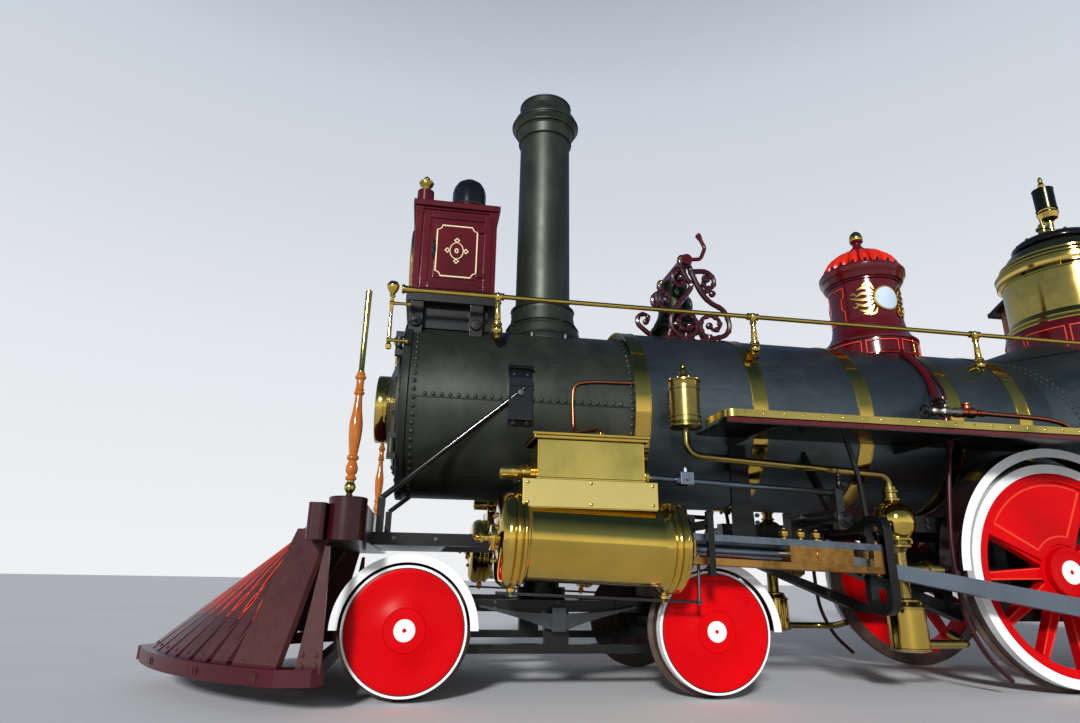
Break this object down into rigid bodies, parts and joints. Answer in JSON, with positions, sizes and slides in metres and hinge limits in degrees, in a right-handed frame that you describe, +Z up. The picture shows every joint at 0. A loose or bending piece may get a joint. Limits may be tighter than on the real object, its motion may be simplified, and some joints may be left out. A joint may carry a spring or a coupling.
{
  "type": "steam locomotive",
  "caption": "Standard-gauge four-four-zero steam locomotive with leading truck, outside cylinders, brass domes, headlight, pilot and open-backed wooden cab.",
  "frame": {"origin": "on the floor under the middle of the engine, where the wheel flanges stand", "axes": "+X towards the rear, so the engine faces -X; +Y its right side; +Z up"},
  "size_m": [9.7, 2.72, 4.333],
  "materials": {
    "frame_black": "satin",
    "wheel_red": "gloss",
    "tyre_white": "satin",
    "maroon": "gloss",
    "brass": "polished",
    "boiler_iron": "satin",
    "smokebox_black": "matte",
    "steel": "satin",
    "cast_iron": "matte",
    "bronze": "aged",
    "cab_wood": "varnished",
    "floor_wood": "bare",
    "staff_wood": "varnished",
    "glass": "clear"
  },
  "bodies": {
    "engine": {"frame_left": "frame_black", "frame_right": "frame_black", "cylinder_saddle": "frame_black", "cylinders": "brass", "steam_chests": "brass", "crosshead_guides": "steel", "guide_yokes": "frame_black", "valve_rods": "steel", "driving_springs": "frame_black", "smokebox": "smokebox_black", "smokebox_door_hinges": "frame_black", "smokestack": "smokebox_black", "boiler": "boiler_iron", "boiler_bands": "brass", "sand_dome": "maroon", "steam_dome": "brass", "whistle": "brass", "bell_stand": "maroon", "headlight_bracket": "maroon", "headlight": "maroon", "headlight_glass": "glass", "handrails": "brass", "running_boards": "maroon", "wheel_covers": "tyre_white", "pilot": "maroon", "pilot_beam": "maroon", "flagstaffs": "staff_wood", "smokebox_braces": "frame_black", "waist_braces": "frame_black", "feed_pumps": "brass", "cab_walls": "cab_wood", "cab_roof": "frame_black", "cab_floor": "floor_wood", "backhead_fittings": "brass", "rear_deck": "frame_black"},
    "truck": {"truck_frame": "frame_black", "truck_fenders": "tyre_white"},
    "truck_front_wheelset": {"truck_front_wheels": "wheel_red", "truck_front_axle": "steel"},
    "truck_rear_wheelset": {"truck_rear_wheels": "wheel_red", "truck_rear_axle": "steel"},
    "front_driver_wheelset": {"front_driver_centres": "wheel_red", "front_driver_tyres": "tyre_white", "front_driver_axle": "steel"},
    "rear_driver_wheelset": {"rear_driver_centres": "wheel_red", "rear_driver_tyres": "tyre_white", "rear_driver_axle": "steel"},
    "smokebox_door": {"smokebox_door": "smokebox_black"},
    "bell": {"bell": "bronze", "bell_yoke": "maroon"},
    "headlight_door": {"headlight_door": "maroon"},
    "fire_door": {"fire_door": "cast_iron"},
    "crosshead_left": {"crosshead_left": "steel"},
    "main_rod_left": {"main_rod_left": "steel"},
    "side_rod_left": {"side_rod_left": "steel"},
    "crosshead_right": {"crosshead_right": "steel"},
    "main_rod_right": {"main_rod_right": "steel"},
    "side_rod_right": {"side_rod_right": "steel"},
    "cab_door_left": {"cab_door_left": "cab_wood"},
    "cab_door_right": {"cab_door_right": "cab_wood"}
  },
  "joints": [
    {"name": "truck_swivel", "type": "hinge", "parent": "engine", "child": "truck", "pos_m": [-2.439, 0, 0.573], "axis": [0, 0, 1], "range_deg": [-2.3, 2.3]},
    {"name": "truck_front_axle_spin", "type": "hinge", "parent": "truck", "child": "truck_front_wheelset", "pos_m": [-3.3, 0, 0.358], "axis": [0, 1, 0], "continuous": true},
    {"name": "truck_rear_axle_spin", "type": "hinge", "parent": "truck", "child": "truck_rear_wheelset", "pos_m": [-1.578, 0, 0.358], "axis": [0, 1, 0], "continuous": true},
    {"name": "driver_spin", "type": "hinge", "parent": "engine", "child": "front_driver_wheelset", "pos_m": [0.813, 0, 0.714], "axis": [0, 1, 0], "continuous": true},
    {"name": "rear_driver_spin", "type": "hinge", "parent": "engine", "child": "rear_driver_wheelset", "pos_m": [3.253, 0, 0.714], "axis": [0, 1, 0], "continuous": true},
    {"name": "crosshead_left_slide", "type": "slide", "parent": "engine", "child": "crosshead_left", "axis": [0.9995, 0, -0.0314], "range_m": [-0.4944, 0.1156]},
    {"name": "main_rod_left_pivot", "type": "hinge", "parent": "crosshead_left", "child": "main_rod_left", "pos_m": [-1.04666, -1, 0.77244], "axis": [0, 1, 0], "range_deg": [-15.57, 1.54]},
    {"name": "side_rod_left_pivot", "type": "hinge", "parent": "front_driver_wheelset", "child": "side_rod_left", "pos_m": [0.97911, -0.895, 0.45821], "axis": [0, 1, 0], "continuous": true},
    {"name": "crosshead_right_slide", "type": "slide", "parent": "engine", "child": "crosshead_right", "axis": [0.9995, 0, -0.0314], "range_m": [-0.5629, 0.0471]},
    {"name": "main_rod_right_pivot", "type": "hinge", "parent": "crosshead_right", "child": "main_rod_right", "pos_m": [-0.97826, 1, 0.77029], "axis": [0, 1, 0], "range_deg": [-3.69, 13.43]},
    {"name": "side_rod_right_pivot", "type": "hinge", "parent": "front_driver_wheelset", "child": "side_rod_right", "pos_m": [1.06879, 0.895, 0.88011], "axis": [0, 1, 0], "continuous": true},
    {"name": "smokebox_door_hinge", "type": "hinge", "parent": "engine", "child": "smokebox_door", "pos_m": [-3.466, -0.47, 1.719], "axis": [0, 0, 1], "range_deg": [0, 100]},
    {"name": "bell_swing", "type": "hinge", "parent": "engine", "child": "bell", "pos_m": [-1.41, 0, 2.933], "axis": [0, 1, 0], "range_deg": [-40, 40]},
    {"name": "headlight_door_hinge", "type": "hinge", "parent": "engine", "child": "headlight_door", "pos_m": [-2.892, -0.34, 2.798], "axis": [0, 0, 1], "range_deg": [0, 120]},
    {"name": "fire_door_hinge", "type": "hinge", "parent": "engine", "child": "fire_door", "pos_m": [3.096, 0.207, 1.348], "axis": [0, 0, 1], "range_deg": [0, 100]},
    {"name": "cab_door_left_hinge", "type": "hinge", "parent": "engine", "child": "cab_door_left", "pos_m": [2.811, -1.156, 2.307], "axis": [0, 0, 1], "range_deg": [0, 95]},
    {"name": "cab_door_right_hinge", "type": "hinge", "parent": "engine", "child": "cab_door_right", "pos_m": [2.811, 1.156, 2.307], "axis": [0, 0, 1], "range_deg": [-95, 0]}
  ],
  "couplings": [
    {"joint": "rear_driver_spin", "follows": "driver_spin", "ratio": 1},
    {"joint": "side_rod_left_pivot", "follows": "driver_spin", "ratio": -1},
    {"joint": "side_rod_right_pivot", "follows": "driver_spin", "ratio": -1}
  ]
}
